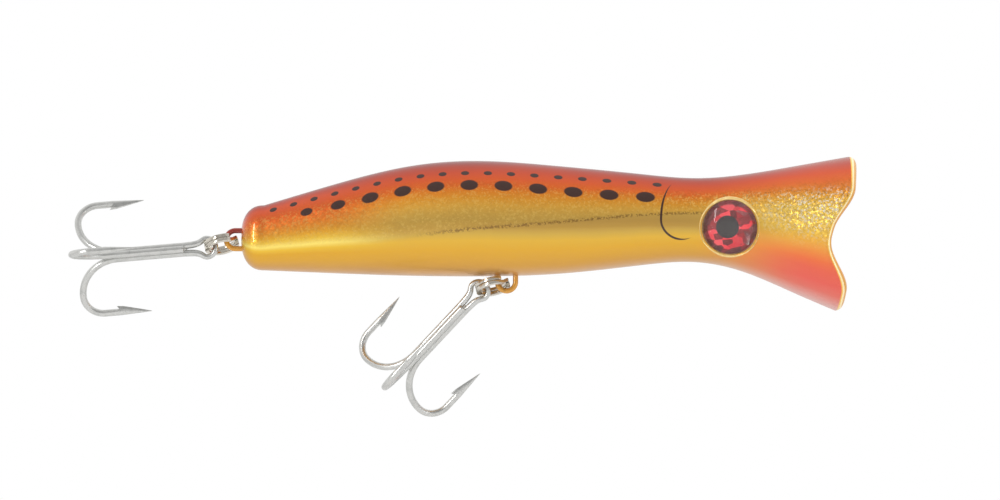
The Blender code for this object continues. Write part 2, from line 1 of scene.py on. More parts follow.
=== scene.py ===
# %% [markdown]
# # A topwater popper, piece by piece
#
# A popper is a floating lure with a cupped mouth. Pulled in jerks, the cup throws water and
# pops. Its body is a hollow moulding in two halves, painted, with a wire running right through
# it. The wire makes the tow eye in the mouth, the hanger under the belly and the eye at the
# tail, and each hanger holds a split ring and a treble hook.
#
# The frame that is loaded first holds the engineering model. Everything here is in metres in
# that same frame: +X out of the mouth, +Y to the left, +Z up through the back, and the origin
# in the middle of the tow eye.

# %% Load the frame
from math import acos, cos, pi, radians, sin, sqrt, tan

import bmesh
import bpy
import numpy as np
from mathutils import Matrix, Vector


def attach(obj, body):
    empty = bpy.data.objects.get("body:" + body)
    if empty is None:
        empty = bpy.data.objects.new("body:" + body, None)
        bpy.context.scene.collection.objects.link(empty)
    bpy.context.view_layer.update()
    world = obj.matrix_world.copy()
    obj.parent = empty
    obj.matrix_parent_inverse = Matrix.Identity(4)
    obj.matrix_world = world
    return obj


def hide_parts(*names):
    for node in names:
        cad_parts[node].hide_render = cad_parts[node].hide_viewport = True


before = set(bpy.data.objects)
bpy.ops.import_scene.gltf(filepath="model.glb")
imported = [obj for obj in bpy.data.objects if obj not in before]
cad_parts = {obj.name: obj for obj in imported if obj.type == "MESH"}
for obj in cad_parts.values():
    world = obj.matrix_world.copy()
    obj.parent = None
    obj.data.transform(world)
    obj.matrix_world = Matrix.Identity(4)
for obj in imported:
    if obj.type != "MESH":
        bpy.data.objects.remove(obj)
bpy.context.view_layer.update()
print("nodes:", ", ".join(sorted(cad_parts)))

# %% [markdown]
# ## Camera, floor and light
#
# The lure is seen from its right side, a few degrees from below. A long lens keeps the body
# from looking swollen towards the camera.
#
# Shiny things show what is around them more than their own colour. So the room matters more
# than the lamps: it is a white tent, brighter behind the lure than in front of it. A broad
# soft lamp above and one in front light the colours but are hidden from the gloss, so they
# leave no pale patches on the lacquer. Two tall strips do the opposite: they light nothing and
# show only in the gloss, where they give the eye and the tail a glint.

# %% Camera
PICTURE_WIDTH = 0.2603  # how much of the world the picture spans at the lure
LENS = 180.0
VIEW_FROM_BELOW = radians(5)

aim = Vector((-0.0816, 0.0, -0.0039))
distance = PICTURE_WIDTH * LENS / 36.0
camera_data = bpy.data.cameras.new("camera")
camera_data.lens = LENS
camera_data.clip_start = 0.01
camera_data.clip_end = 20.0
camera = bpy.data.objects.new("camera", camera_data)
bpy.context.scene.collection.objects.link(camera)
camera.location = aim + Vector((0, -cos(VIEW_FROM_BELOW), -sin(VIEW_FROM_BELOW))) * distance
camera.rotation_euler = (radians(90) + VIEW_FROM_BELOW, 0, 0)
bpy.context.scene.camera = camera
print(f"camera {distance:.3f} m away")

# %% Floor, room and lamps
scene = bpy.context.scene
scene.view_settings.view_transform = "Standard"
scene.view_settings.look = "None"


def plain_material(name, colour, roughness):
    """A material with nothing on it, for what isn't part of the lure."""
    made = bpy.data.materials.new(name)
    made.use_nodes = True
    shader = made.node_tree.nodes["Principled BSDF"]
    shader.inputs["Base Color"].default_value = (*colour, 1.0)
    shader.inputs["Roughness"].default_value = roughness
    return made


def stage_sheet(name, width, depth, matrix, material):
    """A flat sheet that belongs to the stage."""
    bm = bmesh.new()
    bmesh.ops.create_grid(bm, x_segments=1, y_segments=1, size=0.5)
    bmesh.ops.scale(bm, vec=(width, depth, 1.0), verts=bm.verts)
    bmesh.ops.transform(bm, matrix=matrix, verts=bm.verts)
    mesh = bpy.data.meshes.new(name)
    bm.to_mesh(mesh)
    bm.free()
    mesh.materials.append(material)
    made = bpy.data.objects.new(name, mesh)
    scene.collection.objects.link(made)
    return made


FLOOR_DROP = 0.16
stage_sheet("floor", 6.0, 6.0, Matrix.Translation((0, 0, -FLOOR_DROP)),
            plain_material("pale_floor", (0.86, 0.86, 0.86), 0.7))

world = bpy.data.worlds.new("white_tent")
scene.world = world
world.use_nodes = True
sky = world.node_tree
background = sky.nodes["Background"]
place = sky.nodes.new("ShaderNodeTexCoord")
split = sky.nodes.new("ShaderNodeSeparateXYZ")
fade = sky.nodes.new("ShaderNodeMapRange")
fade.inputs["From Min"].default_value = -1.0
fade.inputs["From Max"].default_value = 0.1
fade.inputs["To Min"].default_value = 0.40
fade.inputs["To Max"].default_value = 1.0
sky.links.new(place.outputs["Generated"], split.inputs[0])
sky.links.new(split.outputs["Y"], fade.inputs["Value"])
sky.links.new(fade.outputs["Result"], background.inputs["Strength"])
background.inputs["Color"].default_value = (1.0, 1.0, 1.0, 1.0)


def softbox(name, place, aim_at, width, depth, watts, mirrored=False):
    """A soft rectangular lamp at a place, which either lights colours or shows in gloss."""
    data = bpy.data.lights.new(name, "AREA")
    data.shape = "RECTANGLE"
    data.size, data.size_y = width, depth
    data.energy = watts
    lamp = bpy.data.objects.new(name, data)
    lamp.location = place
    lamp.rotation_euler = (Vector(aim_at) - Vector(place)).to_track_quat("-Z", "Y").to_euler()
    lamp.visible_glossy, lamp.visible_diffuse = mirrored, not mirrored
    scene.collection.objects.link(lamp)
    return lamp


middle = (-0.07, 0, 0)
softbox("overhead", (-0.07, -0.22, 0.62), middle, 0.9, 0.30, 2.2)
softbox("front", (-0.05, -0.80, 0.10), middle, 0.7, 0.5, 1.2)
softbox("left_strip", (-0.76, -0.70, 0.20), middle, 0.10, 0.6, 3.5, mirrored=True)
softbox("right_strip", (0.73, -0.63, -0.05), middle, 0.05, 0.5, 0.6, mirrored=True)

# %% [markdown]
# ## Small tools
#
# A lathe shape is one outline spun about an axis. A wire is one ring of points drawn out along
# a path, extruding its edges a step at a time, which is what `draw_out` does. It takes any
# list of rings, so the same helper makes the wires, the flat coils of a split ring and the
# barbed point of a hook.
#
# Every finished piece stays at the origin and keeps its place in its mesh, so a pattern on
# Object coordinates never slides.

# %% Mesh helpers
MERGE = 1e-7


def piece(bm, name, material, body, sharp=40):
    """Turn a bmesh into a finished piece that rides on a body of the frame."""
    bmesh.ops.remove_doubles(bm, verts=bm.verts, dist=MERGE)
    bmesh.ops.recalc_face_normals(bm, faces=bm.faces)
    mesh = bpy.data.meshes.new(name)
    bm.to_mesh(mesh)
    bm.free()
    mesh.shade_smooth()
    mesh.set_sharp_from_angle(angle=radians(sharp))
    mesh.materials.append(material)
    made = bpy.data.objects.new(name, mesh)
    scene.collection.objects.link(made)
    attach(made, body)
    return made


def draw_out(bm, rings):
    """Start from a circle, extrude its edges through every ring of points, and cap both ends."""
    ring = bmesh.ops.create_circle(bm, segments=len(rings[0]), radius=1.0)["verts"]
    for vert, point in zip(ring, rings[0]):
        vert.co = point
    bm.faces.new(ring)
    for points in rings[1:]:
        edges = [bm.edges.get(pair) for pair in zip(ring, ring[1:] + ring[:1])]
        made = bmesh.ops.extrude_edge_only(bm, edges=edges)["geom"]
        fresh = {item for item in made if isinstance(item, bmesh.types.BMVert)}
        ring = [next(e.other_vert(v) for e in v.link_edges if e.other_vert(v) in fresh)
                for v in ring]
        for vert, point in zip(ring, points):
            vert.co = point
    bm.faces.new(ring)


def spokes(path, sides):
    """For every point of a path, unit vectors round it that don't twist from one to the next."""
    last = len(path) - 1
    found, across = [], None
    for k in range(last + 1):
        ahead = (path[min(k + 1, last)] - path[max(k - 1, 0)]).normalized()
        across = across or ahead.orthogonal()
        across = (across - ahead * across.dot(ahead)).normalized()
        up = ahead.cross(across)
        turns = [2 * pi * s / sides for s in range(sides)]
        found.append([across * cos(a) + up * sin(a) for a in turns])
    return found


def spun(outline, matrix, steps=96):
    """Spin (radius, height) points about an axis, then lift the shape into place.

    An outline that starts on the axis ends there too, and any other is a closed loop.
    """
    bm = bmesh.new()
    points = [bm.verts.new((r, 0, h)) for r, h in outline]
    pairs = list(zip(points, points[1:]))
    if outline[0][0] > 0:
        pairs.append((points[-1], points[0]))
    edges = [bm.edges.new(pair) for pair in pairs]
    bmesh.ops.spin(bm, geom=[*points, *edges], cent=(0, 0, 0), axis=(0, 0, 1),
                   angle=2 * pi, steps=steps, use_merge=True)
    bmesh.ops.remove_doubles(bm, verts=bm.verts, dist=MERGE)
    bmesh.ops.recalc_face_normals(bm, faces=bm.faces)
    bmesh.ops.transform(bm, matrix=matrix, verts=bm.verts)
    return bm


# %% [markdown]
# ## Shader maths as plain maths
#
# A material here is a recipe of nodes. Written node by node it is hard to read, so one small
# class wraps a socket and overloads the operators: `1 - mask * 0.5` adds the Math nodes by
# itself. Every other node comes from `node`, which takes the node's type, its settings and the
# values or links of its sockets.

# %% The socket class
class Socket:
    """An output of a node in a material, which can be used in sums."""

    def __init__(self, tree, output):
        self.tree, self.output = tree, output

    def node(self, kind, settings=None, inputs=None, output=0):
        """Add a node with its settings, then its inputs, and return one of its outputs."""
        made = self.tree.nodes.new("ShaderNode" + kind)
        for name, value in (settings or {}).items():
            if name == "stops":
                ramp = made.color_ramp.elements
                while len(ramp) < len(value):
                    ramp.new(0.5)
                for stop, (position, colour) in zip(ramp, value):
                    stop.position = position
                    stop.color = (*colour, 1.0)
            else:
                setattr(made, name, value)
        for name, value in (inputs or {}).items():
            if isinstance(value, Socket):
                self.tree.links.new(value.output, made.inputs[name])
            else:
                made.inputs[name].default_value = value
        return Socket(self.tree, made.outputs[output])

    def maths(self, operation, *values):
        return self.node("Math", {"operation": operation}, dict(enumerate(values)))

    def __add__(self, other):
        return self.maths("ADD", self, other)

    def __radd__(self, other):
        return self.maths("ADD", other, self)

    def __sub__(self, other):
        return self.maths("SUBTRACT", self, other)

    def __rsub__(self, other):
        return self.maths("SUBTRACT", other, self)

    def __mul__(self, other):
        return self.maths("MULTIPLY", self, other)

    def __rmul__(self, other):
        return self.maths("MULTIPLY", other, self)

    def __truediv__(self, other):
        return self.maths("DIVIDE", self, other)

    def __pow__(self, other):
        return self.maths("POWER", self, other)

    def step(self, low, high):
        """0 below low, 1 above high, smooth between them. It falls if low is above high."""
        settings = {"interpolation_type": "SMOOTHSTEP"}
        if low > high:
            return 1 - self.step(high, low)
        return self.node("MapRange", settings, {"Value": self, "From Min": low, "From Max": high})

    def ramp(self, *stops):
        return self.node("ValToRGB", {"stops": stops}, {0: self})

    def mixed(self, colour, other):
        """A colour that goes to another one as this value goes from 0 to 1."""
        return self.node("Mix", {"data_type": "RGBA", "clamp_factor": True},
                         {0: self, 6: colour, 7: other}, output=2)

    def split(self):
        return [self.node("SeparateXYZ", None, {0: self}, output=k) for k in range(3)]

    def noise(self, scale, detail=3.0, roughness=0.5):
        return self.node("TexNoise", None, {"Vector": self, "Scale": scale, "Detail": detail,
                                            "Roughness": roughness})

    def cells(self, scale, output="Color", feature="F1"):
        """Random colour, distance or place of a mosaic of cells."""
        return self.node("TexVoronoi", {"feature": feature}, {"Vector": self, "Scale": scale},
                         output=output)

    def bump(self, height, strength, depth):
        return self.node("Bump", None, {"Height": height, "Strength": strength,
                                        "Distance": depth})


def colour(red, green, blue):
    """A colour picked as 0 to 255 display values, as the shader wants it."""
    linear = [((c / 255 + 0.055) / 1.055) ** 2.4 if c > 10 else c / 255 / 12.92
              for c in (red, green, blue)]
    return tuple(linear)


def new_material(name, **constants):
    """A Principled material with its plain values set. Returns it, its shader and a start."""
    made = bpy.data.materials.new(name)
    made.use_nodes = True
    tree = made.node_tree
    shader = tree.nodes["Principled BSDF"]
    for key, value in constants.items():
        shader.inputs[key.replace("_", " ").title().replace("Ior", "IOR")].default_value = value
    where = tree.nodes.new("ShaderNodeTexCoord").outputs["Object"]
    return made, shader, Socket(tree, where)


def feed(shader, name, value):
    """Link a varying value, or set a plain one, on one of the shader's sockets."""
    if isinstance(value, Socket):
        value.tree.links.new(value.output, shader.inputs[name])
    elif isinstance(value, tuple):
        shader.inputs[name].default_value = (*value, 1.0)
    else:
        shader.inputs[name].default_value = value


def rgba(values):
    return (*values, 1.0)


# %% [markdown]
# ## The shape of the body
#
# A lure like this is carved from side and top profiles, then moulded. Both profiles are given
# at a few stations and joined by a natural spline, which is the curve a thin batten takes when
# it is bent through the same points. Between them the section is a superellipse: a little
# squarer than an ellipse.
#
# The mouth isn't cut flat. Seen from the side the rim leans back towards the bottom lip and
# dips back in the middle, so that the cup's corners bite the water first.

# %% Profiles
BODY_LENGTH = 0.160
BODY_DEPTH = 0.030
BODY_WIDTH = 0.026
LIP_AHEAD = 0.011
SECTION_POWER = 2.3
TAIL_CAP = 0.006
TAIL_POWER = 2.4
LIP_LEAN = 0.0034
NOTCH = 0.0053
NOTCH_CENTRE = -0.13
NOTCH_SPAN = 0.667
LIP_ROUND = 0.0020
NOTCH_ROUND = 0.0012
CUP_DEPTH = 0.015
FLARE_START = 0.86

# Share of the length, then back and belly as shares of the depth, and half the width as a
# share of the width
PROFILE = (
    (0.0375, 0.258, -0.306, 0.262),
    (0.148, 0.434, -0.330, 0.358),
    (0.285, 0.607, -0.353, 0.458),
    (0.380, 0.643, -0.357, 0.500),
    (0.513, 0.600, -0.336, 0.477),
    (0.650, 0.530, -0.261, 0.419),
    (0.742, 0.494, -0.235, 0.385),
    (0.810, 0.520, -0.305, 0.427),
    (0.900, 0.597, -0.503, 0.520),
    (1.000, 0.690, -0.730, 0.660),
)

TAIL_X = LIP_AHEAD - BODY_LENGTH
FLOOR_X = LIP_AHEAD - CUP_DEPTH


def batten(xs, ys):
    """The natural cubic spline through the points, as a function."""
    xs, ys = np.array(xs), np.array(ys)
    step, slope = np.diff(xs), np.diff(ys) / np.diff(xs)
    system, right = np.eye(len(xs)), np.zeros(len(xs))
    for k in range(1, len(xs) - 1):
        system[k, k - 1 : k + 2] = step[k - 1], 2 * (step[k - 1] + step[k]), step[k]
        right[k] = 6 * (slope[k] - slope[k - 1])
    bend = np.linalg.solve(system, right)

    def value(x):
        k = int(np.clip(np.searchsorted(xs, x) - 1, 0, len(step) - 1))
        a, b = xs[k + 1] - x, x - xs[k]
        curve = (bend[k] * a**3 + bend[k + 1] * b**3) / (6 * step[k])
        ends = (ys[k] / step[k] - bend[k] * step[k] / 6) * a
        return float(curve + ends + (ys[k + 1] / step[k] - bend[k + 1] * step[k] / 6) * b)

    return value


SHARES = [row[0] for row in PROFILE]
BACK = batten(SHARES, [row[1] * BODY_DEPTH for row in PROFILE])
BELLY = batten(SHARES, [row[2] * BODY_DEPTH for row in PROFILE])
FLANK = batten(SHARES, [row[3] * BODY_WIDTH for row in PROFILE])


def section(x):
    """Middle height, half depth and half width of the body at x."""
    from_tail = max(0.0, x - TAIL_X)
    share = max(from_tail, TAIL_CAP) / BODY_LENGTH
    back, belly, width = BACK(share), BELLY(share), FLANK(share)
    closing = 1.0
    if from_tail < TAIL_CAP:
        closing = (1 - (1 - from_tail / TAIL_CAP) ** TAIL_POWER) ** (1 / TAIL_POWER)
    return (back + belly) / 2, closing * (back - belly) / 2, closing * width


def squared(value):
    """A cosine or sine bent towards the squarer section."""
    return (1 if value >= 0 else -1) * abs(value) ** (2 / SECTION_POWER)


def skin_point(x, angle, inset=0.0):
    """A point of the right flank at x. The angle goes from -90, the belly, to 90, the back."""
    level, depth, width = section(x)
    y = -max(0.0, width - inset) * abs(squared(cos(angle)))
    return Vector((x, y, level + max(0.0, depth - inset) * squared(sin(angle))))


print(f"hump {2 * section(TAIL_X + 0.38 * BODY_LENGTH)[1] * 1000:.1f} mm deep, "
      f"waist {2 * section(TAIL_X + 0.74 * BODY_LENGTH)[1] * 1000:.1f} mm")

# %% [markdown]
# ## Rolling a sheet into the body
#
# The outside, the lips and the cup are one continuous surface, so they are made as one grid.
# One direction of the grid runs from the tail's tip, over the lip, to the middle of the cup.
# The other runs from the belly to the back. Each point of the flat grid is moved to its place,
# as if a sheet was rolled round the lure. The height on the section and the place along the
# lure are kept as attributes, because the paint follows them.
#
# The real body is two halves, glued on the middle plane, so half the section is made and the
# other half is its mirror image.

# %% Lips and cup
def rim_x(angle):
    """Where the rim of the mouth lies at an angle."""
    height = sin(angle)
    lean = LIP_LEAN * (1 - height) / 2
    off = min(1.0, abs(height - NOTCH_CENTRE) / NOTCH_SPAN)
    return LIP_AHEAD - lean - NOTCH * cos(off * pi / 2) ** 2


def lip_round(angle):
    return NOTCH_ROUND + (LIP_ROUND - NOTCH_ROUND) * sin(angle) ** 2


def lip_point(angle, roll):
    """A point of the rounded lip: roll 0 is on the outer skin and 90 degrees is foremost."""
    radius = lip_round(angle)
    start = rim_x(angle) - radius
    level, depth, width = section(start)
    outer = skin_point(start, angle)
    across = Vector((0, outer.y / width**2, (outer.z - level) / depth**2)).normalized()
    return outer + Vector((radius * sin(roll), 0, 0)) - across * radius * (1 - cos(roll))


LIP_TURN = radians(145)
STRETCHES = (("cap", 16), ("flank", 150), ("flare", 26), ("lip", 16), ("cup", 30))
ROWS = sum(count for _, count in STRETCHES)
SIDES = 72


def body_point(row, angle):
    """The body's point on a row of the grid, and how far into the cup it is."""
    flare_x = TAIL_X + FLARE_START * BODY_LENGTH
    for name, count in STRETCHES:
        if row <= count or name == "cup":
            break
        row -= count
    share = row / count
    if name == "cap":
        return skin_point(TAIL_X + TAIL_CAP * (1 - cos(share * pi / 2)), angle), 0.0
    if name == "flank":
        start = TAIL_X + TAIL_CAP
        return skin_point(start + (flare_x - start) * share, angle), 0.0
    if name == "flare":
        end = rim_x(angle) - lip_round(angle)
        return skin_point(flare_x + (end - flare_x) * share, angle), 0.0
    if name == "lip":
        return lip_point(angle, LIP_TURN * share), share
    rim = lip_point(angle, LIP_TURN)
    left = 1 - share
    return Vector((FLOOR_X + (rim.x - FLOOR_X) * left**2, rim.y * left, rim.z * left)), 1 + share


def rolled_skin(bm):
    """The outside of the right half, from the tail's tip to the middle of the cup."""
    place = bm.verts.layers.float_vector.new("place")
    inside = bm.verts.layers.float.new("inside")
    sheet = bmesh.ops.create_grid(bm, x_segments=ROWS, y_segments=SIDES, size=0.5)["verts"]
    for vert in sheet:
        row = round((vert.co.x + 0.5) * ROWS)
        angle = vert.co.y * pi
        point, cup = body_point(row, angle)
        vert.co = point
        _, depth, _ = section(min(point.x, LIP_AHEAD))
        share = (point.x - TAIL_X) / BODY_LENGTH
        vert[place] = (share, squared(sin(angle)), depth)
        vert[inside] = cup
    return sheet


trial = bmesh.new()
print("grid points on one half:", len(rolled_skin(trial)))
trial.free()

# %% [markdown]
# ## A hollow half
#
# The half gets an inner wall as well, because it is a shell 2 mm thick that floats the lure.
# The inner wall is a second rolled sheet, set in from the skin and closed at both ends. The
# flat ring between the two edges on the middle plane is the face that takes the glue.

# %% Inner wall and glue face
WALL = 0.0020
HEAD_WALL = 0.0034
HOLLOW = (TAIL_X + 0.0097, FLOOR_X - 0.0045)
HEAD_FROM = LIP_AHEAD - 0.044
INNER_ROWS = 60


def rolled_lining(bm):
    """The inner wall of the right half, thicker round the eye."""
    sheet = bmesh.ops.create_grid(bm, x_segments=INNER_ROWS + 2, y_segments=SIDES // 2,
                                  size=0.5)["verts"]
    for vert in sheet:
        row = round((vert.co.x + 0.5) * (INNER_ROWS + 2))
        angle = vert.co.y * pi
        share = min(1.0, max(0.0, (row - 1) / INNER_ROWS))
        x = HOLLOW[0] + (HOLLOW[1] - HOLLOW[0]) * share
        thick = min(1.0, max(0.0, (x - HEAD_FROM) / 0.004))
        inset = WALL + (HEAD_WALL - WALL) * thick
        point = skin_point(x, angle, inset)
        if row in (0, INNER_ROWS + 2):
            point = Vector((x, 0, section(x)[0]))
        vert.co = point


def right_half():
    bm = bmesh.new()
    rolled_skin(bm)
    rolled_lining(bm)
    bmesh.ops.remove_doubles(bm, verts=bm.verts, dist=MERGE)
    rim = [edge for edge in bm.edges if edge.is_boundary]
    bmesh.ops.triangle_fill(bm, edges=rim, use_beauty=True, normal=(0, 1, 0))
    bmesh.ops.recalc_face_normals(bm, faces=bm.faces)
    return bm


# %% [markdown]
# ## Eye sockets
#
# Each eye sits in a round pocket with a low rim moulded round it. The pocket is cut with a
# Boolean, because it meets a curved flank at a slant, and an exact solver finds that edge by
# itself. The cutter is a plain spun plug, thrown away once it has cut.

# %% Where the eyes are
EYE_BEHIND_LIP = 0.0333
EYE_HEIGHT = 0.0009
EYE_R = 0.0070
EYE_SEAT = 0.0024
EYE_GAP = 0.0002
BEZEL = 0.0007


def flank_at(x, height, side):
    """The point of the flank at x and a height, on the left (1) or the right (-1)."""
    level, depth, width = section(x)
    share = max(-0.999, min(0.999, (height - level) / depth))
    y = width * (1 - abs(share) ** SECTION_POWER) ** (1 / SECTION_POWER)
    return Vector((x, side * y, height))


def eye_matrix(side):
    """Puts a shape spun about Z on the seat of an eye, facing outwards."""
    x = LIP_AHEAD - EYE_BEHIND_LIP
    rise = (flank_at(x, EYE_HEIGHT + EYE_R, side) - flank_at(x, EYE_HEIGHT - EYE_R, side))
    run = flank_at(x + EYE_R, EYE_HEIGHT, side) - flank_at(x - EYE_R, EYE_HEIGHT, side)
    outward = rise.cross(run).normalized() * side
    seat = flank_at(x, EYE_HEIGHT, side) - outward * EYE_SEAT
    forward = (run - outward * run.dot(outward)).normalized()
    up = outward.cross(forward)
    turned = Matrix((forward, up, outward)).transposed().to_4x4()
    return Matrix.Translation(seat) @ turned


def cut_with(target, plug):
    """Apply a Boolean difference and throw the cutter away."""
    mesh = bpy.data.meshes.new("plug")
    plug.to_mesh(mesh)
    plug.free()
    tool = bpy.data.objects.new("plug", mesh)
    scene.collection.objects.link(tool)
    modifier = target.modifiers.new("socket", "BOOLEAN")
    modifier.operation = "DIFFERENCE"
    modifier.solver = "EXACT"
    modifier.object = tool
    bpy.context.view_layer.update()
    seen = target.evaluated_get(bpy.context.evaluated_depsgraph_get())
    cut = bpy.data.meshes.new_from_object(seen)
    target.modifiers.clear()
    old = target.data
    target.data = cut
    bpy.data.meshes.remove(old)
    bpy.data.objects.remove(tool)
    bpy.data.meshes.remove(mesh)


# %% [markdown]
# ## The paint
#
# The paint is built up in layers, and so is its recipe. Gold foil covers the flank, sprayed
# yellow below and red-orange over the back, each fading softly into the next. The head fades
# to coral under the throat. Fine flakes sparkle in a band along the flank. Two rows of dark
# spots, small above large, follow the curve of the back, and a thin line marks the gill.
# Clear lacquer lies over all of it, which is the coat of the shader. Some light is painted in
# as well: a dark horizon line, with darker and brighter bands round it, is a painted reflection
# of the room; the pale edges of the back and belly are a painted reflection of the white
# surroundings; a pale yellow patch low on the tail and a cream line along the lip are painted
# highlights.
#
# The spots could be printed at measured places, but a row has a rule: the spacing widens
# slowly towards the head. So one formula turns the place along the lure into a count of spots,
# and the distance to the nearest whole number gives every spot at once.

# %% Paint recipe
FLAKE_SCALE = 2600.0
# Besides the paint's own colours, the ramps hold painted light. Both flank ramps dip to a darker
# olive near 0.4, and BELOW is brightest near 0.2. Together these are a painted reflection of a dark
# room over a white table. The paler, greyer stops at the very ends are a painted reflection of the
# white surroundings, seen at a slant on the back and belly.
BELOW = ((0.00, colour(206, 156, 96)), (0.06, colour(214, 158, 66)), (0.12, colour(220, 164, 52)),
         (0.19, colour(226, 170, 40)), (0.27, colour(226, 178, 52)), (0.33, colour(208, 168, 64)),
         (0.39, colour(190, 148, 60)), (0.45, colour(188, 147, 68)), (0.52, colour(196, 156, 74)),
         (0.70, colour(204, 160, 66)))
ABOVE = ((0.30, colour(208, 170, 70)), (0.38, colour(192, 150, 60)), (0.46, colour(192, 152, 66)),
         (0.51, colour(202, 158, 66)), (0.58, colour(218, 162, 58)), (0.64, colour(222, 150, 40)),
         (0.70, colour(222, 130, 26)), (0.76, colour(216, 98, 20)), (0.82, colour(202, 78, 20)),
         (0.88, colour(184, 62, 20)), (0.94, colour(160, 50, 26)), (0.975, colour(134, 44, 34)),
         (1.00, colour(122, 56, 50)))
# TAIL's pale yellow stop at 0.31 is a painted highlight low on the tail.
TAIL = ((0.00, colour(206, 156, 96)), (0.12, colour(222, 166, 52)), (0.20, colour(226, 168, 34)),
        (0.26, colour(236, 190, 48)), (0.31, colour(252, 226, 110)), (0.37, colour(234, 190, 58)),
        (0.44, colour(222, 160, 42)), (0.50, colour(214, 138, 36)), (0.60, colour(212, 112, 30)),
        (0.70, colour(212, 94, 22)), (0.80, colour(206, 82, 26)), (0.88, colour(194, 72, 32)),
        (0.94, colour(166, 56, 36)), (1.00, colour(122, 56, 50)))
HEAD = ((0.00, colour(222, 160, 150)), (0.06, colour(230, 116, 102)), (0.12, colour(232, 98, 84)),
        (0.20, colour(232, 98, 72)), (0.26, colour(234, 110, 58)), (0.32, colour(234, 138, 54)),
        (0.39, colour(236, 170, 60)), (0.46, colour(236, 190, 74)), (0.55, colour(234, 194, 86)),
        (0.64, colour(230, 192, 84)), (0.71, colour(224, 168, 60)), (0.77, colour(216, 128, 34)),
        (0.83, colour(212, 98, 28)), (0.89, colour(202, 76, 32)), (0.94, colour(180, 70, 52)),
        (1.00, colour(150, 86, 76)))

# First and last place, count, how the spacing widens, half length, half height, and how much
# smaller the first ones are
SPOT_ROWS = ((-0.1404, -0.0409, 18, 0.117, 0.00106, 0.00058, 0.0),
             (-0.1317, -0.0440, 11, 0.077, 0.00230, 0.00138, 0.27))
GILL_PLACE = (-0.0345, 0.0031)  # x and z of its middle
GILL_DEEP, GILL_UP, GILL_DOWN = 0.0055, 0.0108, 0.0050


